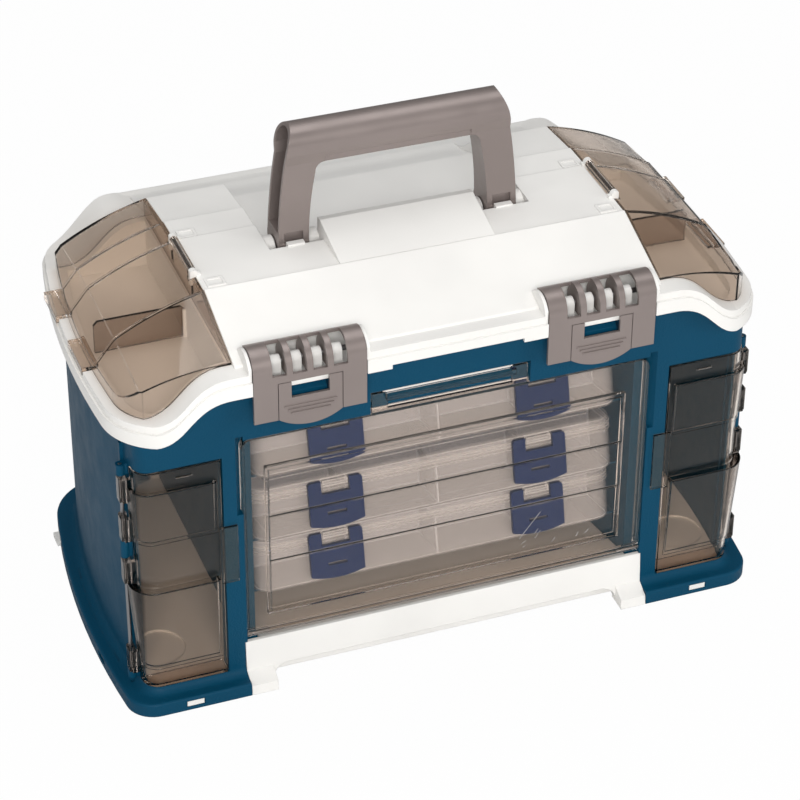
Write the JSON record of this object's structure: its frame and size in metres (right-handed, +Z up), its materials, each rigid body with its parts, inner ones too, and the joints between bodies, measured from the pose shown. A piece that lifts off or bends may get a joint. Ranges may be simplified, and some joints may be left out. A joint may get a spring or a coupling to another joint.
{
  "type": "fishing tackle cabinet",
  "caption": "Carry-handled plastic tackle cabinet: hinged domed lid with clear end covers, drop-down clear front door over tilted utility boxes, and clear corner doors.",
  "frame": {"origin": "on the floor under the middle of the foot flange", "axes": "+X to the right, the front with the doors and latches faces -Y, +Z up"},
  "size_m": [0.5132, 0.2913, 0.3976],
  "materials": {
    "blue_body": "injection-moulded dark teal-blue plastic with a fine leather grain",
    "white_lid": "satin warm-white moulded plastic",
    "white_base": "satin warm-white moulded plastic",
    "taupe": "pearl taupe-grey moulded plastic",
    "smoke": "clear brown-smoke tinted moulded plastic",
    "frosted": "milky translucent moulded plastic",
    "navy": "navy moulded plastic",
    "pin_steel": "plain steel pin"
  },
  "bodies": {
    "cabinet": {"base": "white_base", "body_shell": "blue_body", "lid_hinge_rods": "pin_steel", "front_door_pins": "pin_steel", "corner_door_pins": "pin_steel"},
    "lid": {"lid": "white_lid", "handle_pins": "pin_steel", "cover_pins": "pin_steel", "latch_pins": "pin_steel", "pocket_divider_left": "smoke", "pocket_divider_right": "smoke"},
    "handle": {"handle": "taupe"},
    "lid_cover_left": {"lid_cover_left": "smoke"},
    "lid_cover_right": {"lid_cover_right": "smoke"},
    "latch_left": {"latch_left": "taupe", "paddle_pin_left": "pin_steel"},
    "latch_right": {"latch_right": "taupe", "paddle_pin_right": "pin_steel"},
    "latch_paddle_left": {"latch_paddle_left": "taupe"},
    "latch_paddle_right": {"latch_paddle_right": "taupe"},
    "front_door": {"front_door": "smoke"},
    "corner_door_left": {"corner_door_left": "smoke"},
    "corner_door_right": {"corner_door_right": "smoke"},
    "box_1": {"box_1_tub": "frosted", "box_1_lid": "frosted", "box_1_latches": "navy", "box_1_dividers": "frosted"},
    "box_2": {"box_2_tub": "frosted", "box_2_lid": "frosted", "box_2_latches": "navy", "box_2_dividers": "frosted"},
    "box_3": {"box_3_tub": "frosted", "box_3_lid": "frosted", "box_3_latches": "navy", "box_3_dividers": "frosted"}
  },
  "joints": [
    {"name": "lid_hinge", "type": "hinge", "parent": "cabinet", "child": "lid", "pos_m": [0, 0.139, 0.26], "axis": [1, 0, 0], "range_deg": [-100, 0]},
    {"name": "handle_fold", "type": "hinge", "parent": "lid", "child": "handle", "pos_m": [0, -0.0078, 0.3026], "axis": [1, 0, 0], "range_deg": [-90, 0]},
    {"name": "lid_cover_left_hinge", "type": "hinge", "parent": "lid", "child": "lid_cover_left", "pos_m": [-0.1634, -0.0159, 0.3098], "axis": [0, 1, 0], "range_deg": [0, 105]},
    {"name": "lid_cover_right_hinge", "type": "hinge", "parent": "lid", "child": "lid_cover_right", "pos_m": [0.1634, -0.0159, 0.3098], "axis": [0, -1, 0], "range_deg": [0, 105]},
    {"name": "front_door_hinge", "type": "hinge", "parent": "cabinet", "child": "front_door", "pos_m": [0, -0.1266, 0.0446], "axis": [1, 0, 0], "range_deg": [0, 95]},
    {"name": "latch_left_swing", "type": "hinge", "parent": "lid", "child": "latch_left", "pos_m": [-0.1106, -0.13, 0.2835], "axis": [1, 0, 0], "range_deg": [-100, 0]},
    {"name": "latch_paddle_left_tilt", "type": "hinge", "parent": "latch_left", "child": "latch_paddle_left", "pos_m": [-0.1106, -0.1426, 0.2485], "axis": [1, 0, 0], "range_deg": [0, 40]},
    {"name": "corner_door_left_hinge", "type": "hinge", "parent": "cabinet", "child": "corner_door_left", "pos_m": [-0.242, -0.1115, 0.113], "axis": [0, 0, -1], "range_deg": [0, 100]},
    {"name": "latch_right_swing", "type": "hinge", "parent": "lid", "child": "latch_right", "pos_m": [0.1106, -0.13, 0.2835], "axis": [1, 0, 0], "range_deg": [-100, 0]},
    {"name": "latch_paddle_right_tilt", "type": "hinge", "parent": "latch_right", "child": "latch_paddle_right", "pos_m": [0.1106, -0.1426, 0.2485], "axis": [1, 0, 0], "range_deg": [0, 40]},
    {"name": "corner_door_right_hinge", "type": "hinge", "parent": "cabinet", "child": "corner_door_right", "pos_m": [0.242, -0.1115, 0.113], "axis": [0, 0, 1], "range_deg": [0, 100]},
    {"name": "box_1_slide", "type": "slide", "parent": "cabinet", "child": "box_1", "axis": [0, -0.9744, 0.225], "range_m": [0, 0.054]},
    {"name": "box_2_slide", "type": "slide", "parent": "cabinet", "child": "box_2", "axis": [0, -0.9744, 0.225], "range_m": [0, 0.077]},
    {"name": "box_3_slide", "type": "slide", "parent": "cabinet", "child": "box_3", "axis": [0, -0.9744, 0.225], "range_m": [0, 0.102]}
  ],
  "couplings": [
    {"joint": "box_1_slide", "follows": "front_door_hinge", "m_per_rad": 0.032},
    {"joint": "box_2_slide", "follows": "front_door_hinge", "m_per_rad": 0.045},
    {"joint": "box_3_slide", "follows": "front_door_hinge", "m_per_rad": 0.06}
  ]
}
